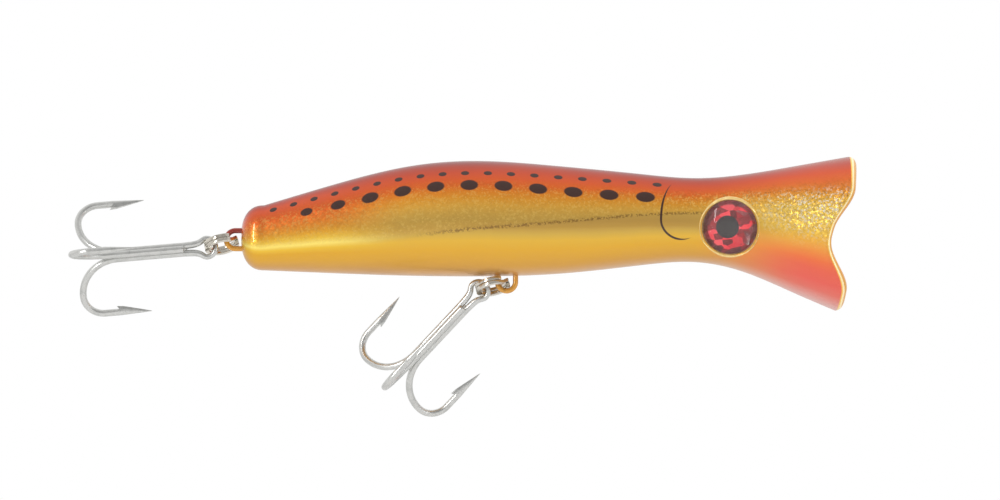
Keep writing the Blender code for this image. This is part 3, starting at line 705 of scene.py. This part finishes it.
def body_paint():
    made, shader, where = new_material("gold_pearl_paint", coat_roughness=0.04,
                                       coat_ior=1.38, specular_ior_level=0.25)
    share, height, depth = where.node("Attribute", {"attribute_name": "place"},
                                      output="Vector").split()
    inside = where.node("Attribute", {"attribute_name": "inside"}, output="Fac")
    x, _, z = where.split()
    drift = where.noise(60.0, 3.0) - 0.5
    level = height + drift * 0.10

    # The flakes stop at a line that climbs from the tail to the neck. The colours also change at
    # this line, darker above and brighter below: a painted reflection of the room's horizon.
    rising = share.node("MapRange", None, {"Value": share, "From Min": 0.22, "From Max": 0.72,
                                           "To Min": -0.42, "To Max": 0.08})
    at_mouth = share.step(0.76, 0.90)
    line = rising * (1 - at_mouth) + at_mouth * -0.36
    ragged = where.noise(1500.0, 3.0, 0.7) - 0.5
    over = height + drift * 0.06 + ragged * 0.10 - line
    reflection_and_flake_side = over.step(-0.05, 0.07)

    tone = level * 0.5 + 0.5
    flank = reflection_and_flake_side.mixed(tone.ramp(*BELOW), tone.ramp(*ABOVE))
    flank = share.step(0.13, 0.28).mixed(tone.ramp(*TAIL), flank)
    skin = (share + drift * 0.03).step(0.72, 0.92).mixed(flank, tone.ramp(*HEAD))

    # Flakes, stronger and whiter towards the mouth
    flake = where.cells(FLAKE_SCALE)
    fine, coarse = flake.split(), where.cells(FLAKE_SCALE * 0.6).split()
    reach = over.step(-0.05, 0.12) * (1 - at_mouth) + over.step(-0.05, 0.55) * at_mouth
    reach = reach * height.step(0.80, 0.45)
    strength = reach * (0.30 + 0.70 * share.step(0.62, 0.95))
    bright = (fine[0] * 0.6 + coarse[1] * 0.4).step(0.56, 0.80) * strength
    dark = (fine[2] * 0.6 + coarse[0] * 0.4).step(0.44, 0.24) * strength
    white = share.step(0.78, 0.94) * height.step(-0.40, 0.0)
    gleam = (white * 0.9).mixed(rgba(colour(248, 216, 118)), rgba(colour(255, 252, 240)))
    skin = (bright * 0.75 * height.step(0.66, 0.40)).mixed(skin, gleam)
    skin = (dark * 0.34).mixed(skin, rgba(colour(132, 84, 30)))

    # A dark line along the edge of the flakes: a painted reflection of the horizon
    horizon_reflection = over.step(-0.04, 0.0) * over.step(0.06, 0.01) * fine[1].step(0.30, 0.55)
    horizon_reflection = horizon_reflection * share.step(0.26, 0.36) * share.step(0.79, 0.74)
    skin = (horizon_reflection * 0.75).mixed(skin, rgba(colour(116, 80, 30)))

    # The upper row of spots is level on the flank, and the lower one follows the hump
    spots = []
    for first, last, count, widening, long, tall, shrink in SPOT_ROWS:
        run = (x - first) / (last - first)
        number = (run + run * (1 - run) * widening) * (count - 1)
        nearest = number.maths("ROUND", number)
        nearest = nearest.maths("MINIMUM", nearest.maths("MAXIMUM", nearest, 0.0), count - 1.0)
        row = 0.73 if shrink == 0 else \
            0.44 + 0.07 * run.step(0.0, 0.45) - 0.09 * run.step(0.5, 1.0)
        size = 1 - shrink * nearest.step(1.9, 0.0)
        pitch = (last - first) / (count - 1)
        along = (number - nearest) * (pitch / long) / size
        upward = (height - row) * depth / tall / size
        away = along * along + upward * upward
        spots.append(away.maths("SQRT", away).step(1.10, 0.90))
    spots = spots[0].maths("MAXIMUM", *spots)
    ink = rgba(colour(56, 30, 22))
    printed = spots.mixed(skin, ink)

    # Gill line: an egg-shaped arc, thin and fading at both ends
    ahead, above = (x - GILL_PLACE[0]) / GILL_DEEP, z - GILL_PLACE[1]
    upper = above.step(-1e-6, 1e-6)
    above = above * upper / GILL_UP + above * (1 - upper) / GILL_DOWN
    ring = ahead * ahead + above * above
    off = ring.maths("ABSOLUTE", ring.maths("SQRT", ring) - 1)
    turn = above.maths("ARCTAN2", above, 0 - ahead)
    taper = turn.step(1.25, 0.20) * turn.step(-2.15, -1.2)
    gill = (off - taper * 0.050).step(0.012, -0.010) * ahead.step(0.50, 0.40)
    gill = gill * taper.step(0.02, 0.20)
    printed = gill.mixed(printed, ink)

    # Pale gold on the edge of the lip with a cream painted highlight along it, and red inside the
    # cup
    printed = inside.step(0.01, 0.10).mixed(printed, rgba(colour(250, 200, 84)))
    # The cream band is a painted highlight on the rounded lip.
    printed = inside.step(0.10, 0.15).mixed(printed, rgba(colour(255, 236, 184)))
    printed = inside.step(0.21, 0.30).mixed(printed, rgba(colour(226, 160, 58)))
    feed(shader, "Base Color", inside.step(0.50, 0.62).mixed(printed, rgba(colour(216, 44, 62))))

    metal = 0.50 * height.step(0.95, 0.45) * inside.step(0.3, 0.1) * (1 - spots) * (1 - gill)
    feed(shader, "Metallic", metal)
    feed(shader, "Coat Weight", 1 - 0.75 * height.maths("ABSOLUTE", height).step(0.62, 0.97))
    feed(shader, "Roughness", 0.34 - 0.10 * strength + 0.10 * fine[1] * strength)
    tilt = flake.node("VectorMath", {"operation": "SUBTRACT"}, {0: flake, 1: (0.5, 0.5, 0.5)})
    tilt = tilt.node("VectorMath", {"operation": "SCALE"}, {0: tilt, "Scale": strength * 0.5})
    normal = where.node("NewGeometry", output="Normal")
    tilted = normal.node("VectorMath", {"operation": "ADD"}, {0: normal, 1: tilt})
    feed(shader, "Normal", tilted.node("VectorMath", {"operation": "NORMALIZE"}, {0: tilted}))
    return made


GOLD_PEARL = body_paint()

# %% Make both halves
half = right_half()
halves = {}
for side, name in ((-1, "right"), (1, "left")):
    bm = half.copy()
    if side > 0:
        bmesh.ops.scale(bm, vec=(1, -1, 1), verts=bm.verts)
    shell = piece(bm, f"painted_half_{name}", GOLD_PEARL, "body")
    plug = spun([(0, 0), (EYE_R + EYE_GAP, 0), (EYE_R + EYE_GAP, 0.006), (0, 0.006)],
                eye_matrix(side))
    cut_with(shell, plug)
    shell.data.set_sharp_from_angle(angle=radians(40))
    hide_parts(f"body_shell_{name}")
    halves[name] = shell
half.free()
print({name: len(shell.data.polygons) for name, shell in halves.items()})

# %% [markdown]
# ## Rims of the eyes
#
# The rim is a narrow raised lip that follows the flank all round the pocket, so it shows as an
# even bright line from the side. A spun ring alone would be flat and sink into the flank fore
# and aft, so its outer edge is lifted to the local height of the skin after the spin.

# %% Rim material and rims
def rim_paint():
    made, shader, where = new_material("gold_rim", metallic=0.5, coat_weight=1.0,
                                       coat_roughness=0.05)
    cloud = where.noise(900.0, 2.0)
    feed(shader, "Base Color", cloud.ramp((0.3, colour(236, 196, 110)),
                                          (0.7, colour(250, 222, 150))))
    feed(shader, "Roughness", 0.20 + 0.1 * cloud)
    return made


RIM_GOLD = rim_paint()


def skin_height(matrix, side, across, up):
    """How far the flank stands over the eye's seat, at a place in the eye's own plane."""
    seat, outward = matrix.translation, matrix.col[2].to_3d()
    point = matrix @ Vector((across, up, EYE_SEAT))
    for _ in range(4):
        skin = flank_at(point.x, point.z, side)
        gap = (skin.y - point.y) / outward.y
        point = point + outward * gap
    return (point - seat).dot(outward)


def make_rim(name, side):
    matrix = eye_matrix(side)
    inner, outer = EYE_R + EYE_GAP / 2, EYE_R + EYE_GAP + BEZEL
    outline = [(inner, -0.0002), (inner, 0.0008), (inner + 0.00018, 0.0010),
               (inner + 0.00040, 0.0011), (outer - 0.0001, 0.0010), (outer + 0.00005, 0.0007),
               (outer + 0.00005, -0.0002)]
    bm = spun(outline, Matrix.Identity(4), steps=120)
    for vert in bm.verts:
        radius = vert.co.to_2d().length
        skin = skin_height(matrix, side, vert.co.x * outer / radius, vert.co.y * outer / radius)
        if vert.co.z > 0:
            near = (radius - inner) / (outer - inner)
            rise = max(0.0, skin + 0.00016 - 0.0010)
            vert.co.z += rise * min(1.0, 0.25 + 1.1 * near)
    bmesh.ops.transform(bm, matrix=matrix, verts=bm.verts)
    return piece(bm, name, RIM_GOLD, "body", sharp=60)


for side, name in ((-1, "right"), (1, "left")):
    make_rim(f"eye_rim_{name}", side)

# %% [markdown]
# ## Foil and lens
#
# The eye is a disc of red foil under a clear dome. The foil is embossed in small facets that
# each throw the light their own way, so a mosaic of cells gives each facet its own colour and
# its own tilt. The pupil is printed in the middle, and a dark ring near the edge of the foil is
# a painted shadow under the rim of the lens.
#
# Real glass in front of a picture is slow to light and hard to bake. A clear coat of air-thin
# reflection does the same job: the dome is a mirror that is only as solid as glass is bright
# at each angle, which is what Fresnel gives, so the foil stays clear underneath.

# %% Eye materials
def foil_paint():
    made, shader, where = new_material("red_facet_foil", coat_weight=0.6, coat_roughness=0.1)
    seat = eye_matrix(-1)
    x, y, z = where.split()
    y = y.maths("ABSOLUTE", y)
    middle = seat.translation
    off = [x - middle.x, y + middle.y, z - middle.z]
    far = off[0] * off[0] + off[1] * off[1] + off[2] * off[2]
    radius = far.maths("SQRT", far)
    pupil_off = off[0] + 0.0007
    far = pupil_off * pupil_off + off[1] * off[1] + off[2] * off[2]
    pupil = far.maths("SQRT", far).step(0.00310, 0.00292)

    slanted = where.node("Mapping", None, {"Vector": where, "Rotation": (0.0, 0.7, 0.0),
                                           "Scale": (1.0, 0.6, 1.7)})
    facet = slanted.cells(420.0)
    tone = facet.split()
    red = (tone[0] * 0.6 + tone[1] * 0.4).ramp(
        (0.25, colour(104, 14, 18)), (0.48, colour(142, 24, 30)), (0.58, colour(176, 32, 40)),
        (0.63, colour(255, 44, 60)), (0.80, colour(255, 84, 94)))
    grain = where.noise(4200.0, 2.0)
    red = (grain.step(0.50, 0.72) * 0.25).mixed(red, rgba(colour(255, 130, 130)))
    # The dark ring near the edge is a painted shadow under the rim of the lens.
    ring = radius.step(0.0057, 0.0061)
    red = (ring * 0.8).mixed(red, rgba(colour(84, 16, 20)))
    dots = where.cells(2600.0, output="Distance").step(0.30, 0.15)
    ink = (dots * 0.35).mixed(rgba(colour(36, 24, 22)), rgba(colour(104, 84, 56)))
    feed(shader, "Base Color", pupil.mixed(red, ink))
    feed(shader, "Metallic", 0.30 * (1 - pupil))
    feed(shader, "Roughness", 0.32 + 0.2 * pupil)
    tilt = facet.node("VectorMath", {"operation": "SUBTRACT"}, {0: facet, 1: (0.5, 0.5, 0.5)})
    tilt = tilt.node("VectorMath", {"operation": "SCALE"}, {0: tilt, "Scale": (1 - pupil) * 0.5})
    normal = where.node("NewGeometry", output="Normal")
    tilted = normal.node("VectorMath", {"operation": "ADD"}, {0: normal, 1: tilt})
    feed(shader, "Normal", tilted.node("VectorMath", {"operation": "NORMALIZE"}, {0: tilted}))
    return made


def lens_resin():
    made, shader, where = new_material("clear_lens", metallic=1.0, roughness=0.03)
    feed(shader, "Base Color", (1.0, 1.0, 1.0))
    glint = where.node("Fresnel", None, {"IOR": 1.45})
    feed(shader, "Alpha", glint * 0.45)
    return made


RED_FOIL, CLEAR_LENS = foil_paint(), lens_resin()

# %% Foils and lenses
FOIL = 0.0003
LENS_EDGE = 0.0005
LENS_DOME = 0.0021


def make_eye(name, side):
    """The foil disc, then the domed lens with a small rolled edge."""
    matrix = eye_matrix(side)
    foil = spun([(0, EYE_GAP), (EYE_R, EYE_GAP), (EYE_R, EYE_GAP + FOIL), (0, EYE_GAP + FOIL)],
                matrix)
    disc = piece(foil, f"foil_{name}", RED_FOIL, "body")
    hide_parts(f"eye_foil_{name}")
    base = 2 * EYE_GAP + FOIL
    dome_r = (EYE_R**2 + LENS_DOME**2) / (2 * LENS_DOME)
    widest = acos((dome_r - LENS_DOME) / dome_r)
    outline = [(0, base), (EYE_R - 0.0001, base), (EYE_R - 0.00002, base + 0.0001)]
    for k in range(25):
        tilt = widest * (1 - k / 24)
        bulge = dome_r * cos(tilt) - dome_r + LENS_DOME
        outline.append((dome_r * sin(tilt) * 0.997, base + LENS_EDGE + bulge))
    lens = piece(spun(outline, matrix, steps=112), f"lens_{name}", CLEAR_LENS, "body",
                 sharp=60)
    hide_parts(f"eye_lens_{name}")


for side, name in ((-1, "right"), (1, "left")):
    make_eye(name, side)

# %% [markdown]
# ## The through wire
#
# One stainless wire runs the whole length, so a fish pulls on the wire and not on the plastic.
# It is bent flat, in the lure's middle plane: round at each eye, with easy bends where it dips
# to the hanger. What shows outside is sprayed along with the body, red above and gold below.

# %% Wire route
WIRE_R = 0.0007
HANGER_R = 0.00165
HANGER_REACH = 0.0016
TAIL_REACH = 0.0015
BELLY_FROM_TAIL = 0.0691
TAIL_EYE_DROP = 0.0012
NOSE_LEG = 0.0075
TAIL_LEG = 0.0100
WIRE_BEND = 0.0025

EYE_WIRE = HANGER_R + WIRE_R
BELLY_X = TAIL_X + BELLY_FROM_TAIL
BELLY_EYE = Vector((BELLY_X, 0, section(BELLY_X)[0] - section(BELLY_X)[1] - HANGER_REACH))
TAIL_EYE = Vector((TAIL_X - TAIL_REACH, 0, -TAIL_EYE_DROP))
REAR_RUN = TAIL_EYE.z - EYE_WIRE


def filleted(corners, steps=14):
    """Straight runs in the middle plane with an arc of the given radius at each corner."""
    points = []
    for before, (x, z, radius), after in zip(corners, corners[1:], corners[2:]):
        corner = Vector((x, 0, z))
        come = (Vector((before[0], 0, before[1])) - corner).normalized()
        leave = (Vector((after[0], 0, after[1])) - corner).normalized()
        half_turn = come.angle(leave) / 2
        centre = corner + (come + leave).normalized() * radius / sin(half_turn)
        start = (corner + come * radius / tan(half_turn) - centre).normalized()
        end = (corner + leave * radius / tan(half_turn) - centre).normalized()
        points += [centre + start.slerp(end, k / steps) * radius for k in range(steps + 1)]
    first, last = corners[0], corners[-1]
    return [Vector((first[0], 0, first[1])), *points, Vector((last[0], 0, last[1]))]


eye_bend = EYE_WIRE * 0.999
front, rear = BELLY_X + EYE_WIRE, BELLY_X - EYE_WIRE
hanger_foot = BELLY_EYE.z - EYE_WIRE
tail_end = TAIL_EYE.x - EYE_WIRE
wire_path = filleted([
    (-NOSE_LEG, EYE_WIRE, 0),
    (EYE_WIRE, EYE_WIRE, eye_bend),
    (EYE_WIRE, -EYE_WIRE, eye_bend),
    (front, -EYE_WIRE, WIRE_BEND),
    (front, hanger_foot, eye_bend),
    (rear, hanger_foot, eye_bend),
    (rear, REAR_RUN, WIRE_BEND),
    (tail_end, REAR_RUN, eye_bend),
    (tail_end, TAIL_EYE.z + EYE_WIRE, eye_bend),
    (TAIL_EYE.x + TAIL_LEG, TAIL_EYE.z + EYE_WIRE, 0),
])


# %% Wire material and wire
def sprayed_wire():
    made, shader, where = new_material("sprayed_wire", coat_weight=0.8, coat_roughness=0.08)
    x, _, z = where.split()
    cloud = where.noise(700.0, 3.0)
    over = (z + cloud * 0.0006).step(-0.0012, 0.0)
    sprayed = over.mixed(rgba(colour(214, 152, 52)), rgba(colour(150, 44, 26)))
    worn = (cloud.step(0.60, 0.72)) * 0.5
    feed(shader, "Base Color", worn.mixed(sprayed, rgba(colour(150, 110, 60))))
    feed(shader, "Metallic", 0.45 + 0.4 * worn)
    feed(shader, "Roughness", 0.30 + 0.15 * cloud)
    return made


SPRAYED_WIRE = sprayed_wire()


def wire(path, radius, name, material, body, sides=24):
    bm = bmesh.new()
    draw_out(bm, [[point + spoke * radius for spoke in ring]
                  for point, ring in zip(path, spokes(path, sides))])
    return piece(bm, name, material, body)


through = wire(wire_path, WIRE_R, "bent_through_wire", SPRAYED_WIRE, "body")
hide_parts("through_wire")

# %% [markdown]
# ## Steel for rings and hooks
#
# Hooks for salt water are plated with tin. It is softer and whiter than chrome: a broad pale
# sheen, faint draw marks from the wire mill, and a slightly mottled skin. The rings are hard
# spring steel and shine more.

# %% Steel recipes
def plated_steel(name, pale, dull, rough, mottle):
    made, shader, where = new_material(name, metallic=1.0)
    cloud = where.noise(520.0, 4.0, 0.6)
    speck = where.noise(3600.0, 2.0, 0.6)
    tone = cloud * 0.6 + speck * 0.4
    feed(shader, "Base Color", tone.ramp((0.34, dull), (0.52, pale)))
    feed(shader, "Roughness", rough + mottle * tone)
    feed(shader, "Normal", where.bump(cloud, 0.06, 0.00004))
    return made


TIN = plated_steel("tin_plate", colour(206, 206, 203), colour(184, 185, 182), 0.24, 0.10)
SPRING = plated_steel("spring_steel", colour(214, 208, 196), colour(168, 160, 148), 0.10, 0.12)
SOLDER = plated_steel("silver_solder", colour(206, 206, 202), colour(160, 160, 156), 0.30, 0.2)

# %% [markdown]
# ## Split rings
#
# A split ring is a flat coil of two turns. The wire jogs from one level to the other within a
# short stretch, and the rest of each turn lies flat. Its section is drawn out along that path,
# kept square to the ring's own axis, so the coils stay flat against each other.

# %% Ring shape
RING_R = 0.0045
RING_BAND = 0.0010
RING_COIL = 0.00098
RING_SLIT = 0.0001
RING_JOG = radians(40)
RING_ENDS = radians(5)
RING_SLACK = (0.0003, 0.0003)
JOG_AT = radians(150)


def fallen(angle):
    """The direction that points to the tail and down by the angle."""
    return Vector((-cos(angle), 0, -sin(angle)))


def make_ring(name, node, body, hanger, fall, roll, slid):
    """Make a ring that has fallen and rolled, and return where the hook hangs on it."""
    away = fallen(fall)
    side = Matrix.Rotation(roll, 3, away) @ Vector((0, -1, 0))
    normal = away.cross(side)
    reach = RING_R - RING_BAND / 2
    centre = hanger + Vector((RING_SLACK[0], 0, -RING_SLACK[1])) + away * reach
    lift = (RING_COIL + RING_SLIT) / 2
    start, end = RING_JOG / 2 + RING_ENDS, 4 * pi - RING_JOG / 2 - RING_ENDS
    corners = [(sx * (1 - 0.26 * (1 - cos(a))), sz * (1 - 0.26 * (1 - sin(a))))
               for sx, sz, span in ((1, 1, (0, 90)), (-1, 1, (90, 0)), (-1, -1, (0, 90)),
                                    (1, -1, (90, 0)))
               for a in (radians(span[0] + (span[1] - span[0]) * k / 4) for k in range(5))]
    rings = []
    for turn in np.linspace(start, end, 180):
        past = float(np.clip((turn - 2 * pi) / RING_JOG, -0.5, 0.5))
        out = away * cos(turn + JOG_AT) + side * sin(turn + JOG_AT)
        middle = centre + out * reach + normal * lift * sin(pi * past)
        rings.append([middle + out * a * RING_BAND / 2 + normal * b * RING_COIL / 2
                      for a, b in corners])
    bm = bmesh.new()
    draw_out(bm, rings)
    made = piece(bm, name, SPRING, body, sharp=50)
    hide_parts(node)
    return centre + (away * cos(slid) - side * sin(slid)) * reach


# %% [markdown]
# ## Treble hooks
#
# A treble is made from two wires. The first is bent into an eye in its middle, and both its
# ends are bent into hooks. The second is a single hook, laid in the groove between the two
# shanks and soldered there, which is why its shank stops short of the eye.
#
# The barb is a cut that lifts a sliver of the wire. Here the ring of points at the root of the
# barb is pulled inwards and back along the wire, and the rings after it run straight to the
# point, so the barb and the point are one wedge, as they are on a ground hook.

# %% Hook shape
HOOK_R = 0.0009
HOOK_EYE_R = 0.0017
HOOK_EYE_THIN = 0.80
HOOK_EYE_NECK = 0.0056
HOOK_EYE_WAIST = 0.0015
HOOK_SHANK = 0.0234
HOOK_SWEEP = (0.0103, 0.0102)
HOOK_TURN = 0.0051
HOOK_POINT = 0.0123
BARB_BACK = 0.0091
BARB_CUT = 0.0011
BARB_BITE = 0.0009
BRAZE_GAP = 0.0001
THIRD_SHANK = 0.0058
SOLDER_R = 0.00072
SOLDER_START = THIRD_SHANK - 0.0008
SOLDER_END = HOOK_SHANK + 0.0014
POINT_STEPS = 12


def hook_arm():
    """(along the shank, outward, radius, barb) from the end of the shank to the tip."""
    shank, (long, wide) = HOOK_SHANK, HOOK_SWEEP
    points = [(shank + long * sin(a), wide * (1 - cos(a)), HOOK_R, 0.0)
              for a in np.linspace(0, pi / 2, 30)]
    start, out = shank + long - HOOK_TURN, wide
    for a in np.linspace(0, pi / 2, 22)[1:]:
        points.append((start + HOOK_TURN * cos(a), out + HOOK_TURN * sin(a), HOOK_R, 0.0))
    end, level = points[-1][:2]
    root = HOOK_POINT - BARB_BACK + BARB_CUT
    points.append((end - root + 0.00004, level, HOOK_R, 0.0))
    for k in range(POINT_STEPS + 1):
        share = k / POINT_STEPS
        run = root + (HOOK_POINT - root) * share
        radius = HOOK_R * ((1 - share) ** 0.9 * 0.94 + 0.06)
        points.append((end - run, level + (HOOK_R - radius) * 0.55, radius, 1 - share))
    return points


def hook_rings(path, radii, barbs, inward, backward, sides=24):
    """Rings of points round a hook's wire, with the barb pulled out where there is one."""
    rings = []
    for point, radius, barb, ring in zip(path, radii, barbs, spokes(path, sides)):
        points = []
        for spoke in ring:
            place = point + spoke * radius
            share = max(0.0, spoke.dot(inward[len(rings)])) ** 5 if barb else 0.0
            pull = inward[len(rings)] * BARB_BITE * barb
            pull += backward * BARB_CUT * max(0.0, barb * POINT_STEPS - POINT_STEPS + 1)
            points.append(place + pull * share)
        rings.append(points)
    return rings


def make_treble(name, body, eye, fall, yaw):
    along, third = fallen(fall) * cos(yaw) + Vector((0, sin(yaw), 0)), Vector((0, -1, 0))
    third = (third - along * third.dot(along)).normalized()
    up = along.cross(third)
    half = HOOK_R + BRAZE_GAP / 2
    eye_r = HOOK_EYE_R + HOOK_R * HOOK_EYE_THIN

    # Half of the double hook as (point, radius, barb, inward), from the eye's top to the tip
    def side_of(sign):
        outward = up * sign * sqrt(3) / 2 - third / 2
        stations = []
        for turn in np.linspace(pi / 2, 0, 22):
            stations.append((eye + along * (-eye_r * sin(turn)) + up * sign * eye_r * cos(turn),
                             HOOK_R * HOOK_EYE_THIN, 0.0, -outward))
        for run in np.linspace(0, HOOK_EYE_NECK, 30)[1:]:
            share = 1 / (1 + (run / HOOK_EYE_WAIST) ** 2.4) * (1 - run / HOOK_EYE_NECK) ** 0.2
            place = along * run + up * sign * (half + (eye_r - half) * share)
            stations.append((eye + place, HOOK_R * (1 + (HOOK_EYE_THIN - 1) * share), 0.0,
                             -outward))
        for run in np.linspace(HOOK_EYE_NECK, HOOK_SHANK, 30)[1:-1]:
            stations.append((eye + along * run + up * sign * half, HOOK_R, 0.0, -outward))
        for a, r, radius, barb in hook_arm():
            stations.append((eye + along * a + up * sign * half + outward * r, radius, barb,
                             -outward))
        return stations

    whole = side_of(1)[::-1] + side_of(-1)[1:]
    bm = bmesh.new()
    draw_out(bm, hook_rings(*[list(c) for c in list(zip(*whole))[:3]],
                            [s[3] for s in whole], along))
    double = piece(bm, f"{name}_double_hook_wire", TIN, body, sharp=50)
    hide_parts(f"{name}_double_hook")

    groove = sqrt((2 * HOOK_R + BRAZE_GAP) ** 2 - half**2)
    base = eye + third * groove
    stations = [(base + along * THIRD_SHANK, HOOK_R * 0.70, 0.0, -third),
                (base + along * (THIRD_SHANK + 0.00008), HOOK_R * 0.90, 0.0, -third),
                (base + along * (THIRD_SHANK + 0.00022), HOOK_R, 0.0, -third)]
    for run in np.linspace(THIRD_SHANK, HOOK_SHANK, 30)[1:-1]:
        stations.append((base + along * run, HOOK_R, 0.0, -third))
    for a, r, radius, barb in hook_arm():
        stations.append((base + along * a + third * r, radius, barb, -third))
    bm = bmesh.new()
    draw_out(bm, hook_rings(*[list(c) for c in list(zip(*stations))[:3]],
                            [s[3] for s in stations], along))
    single = piece(bm, f"{name}_third_hook_wire", TIN, body, sharp=50)
    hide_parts(f"{name}_third_hook")

    # Solder in the middle of the three shanks, drawn out thin at both ends
    core = eye + third * groove / 3
    path, radii = [], []
    for share in np.linspace(0, 1, 40):
        run = SOLDER_START + (SOLDER_END - SOLDER_START) * share
        path.append(core + along * run)
        radii.append(SOLDER_R * min(1.0, (sin(pi * share) + 0.02) * 2.2) ** 0.5)
    bm = bmesh.new()
    draw_out(bm, [[p + s * r for s in ring]
                  for p, r, ring in zip(path, radii, spokes(path, 20))])
    piece(bm, f"{name}_solder", SOLDER, body)


# %% Hang the tackle
# Hanger, then how the ring has fallen, rolled and let the hook slide, and the hook's fall and yaw
TACKLE = (("tail", TAIL_EYE, 13.0, 18.0, 0.0, 4.6, 3.0),
          ("belly", BELLY_EYE, 12.0, 16.0, 20.0, 46.4, 8.6))
for name, hanger, *angles in TACKLE:
    fall, roll, slid, hook_fall, yaw = map(radians, angles)
    hook_eye = make_ring(f"{name}_coiled_ring", f"{name}_split_ring", f"{name}_ring", hanger,
                         fall, roll, slid)
    make_treble(name, f"{name}_treble", hook_eye, hook_fall, yaw)
    print(name, "hook eye at", [round(v * 1000, 1) for v in hook_eye])

# %% [markdown]
# ## What is inside
#
# The slugs and balls can't be seen from outside, but they are the real shapes and stay as the
# frame has them. They get the look of cast lead and of bearing steel all the same.

# %% Lead and bearing steel
def cast_lead():
    made, shader, where = new_material("cast_lead", metallic=0.9)
    cloud = where.noise(400.0, 5.0, 0.65)
    feed(shader, "Base Color", cloud.ramp((0.3, colour(92, 96, 102)), (0.7, colour(140, 143, 148))))
    feed(shader, "Roughness", 0.50 + 0.25 * cloud)
    feed(shader, "Normal", where.bump(cloud, 0.3, 0.0001))
    return made


LEAD = cast_lead()
for node, material in (("tail_ballast", LEAD), ("belly_ballast", LEAD),
                       ("rattle_ball_left", SPRING), ("rattle_ball_right", SPRING)):
    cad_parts[node].data.materials.clear()
    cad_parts[node].data.materials.append(material)
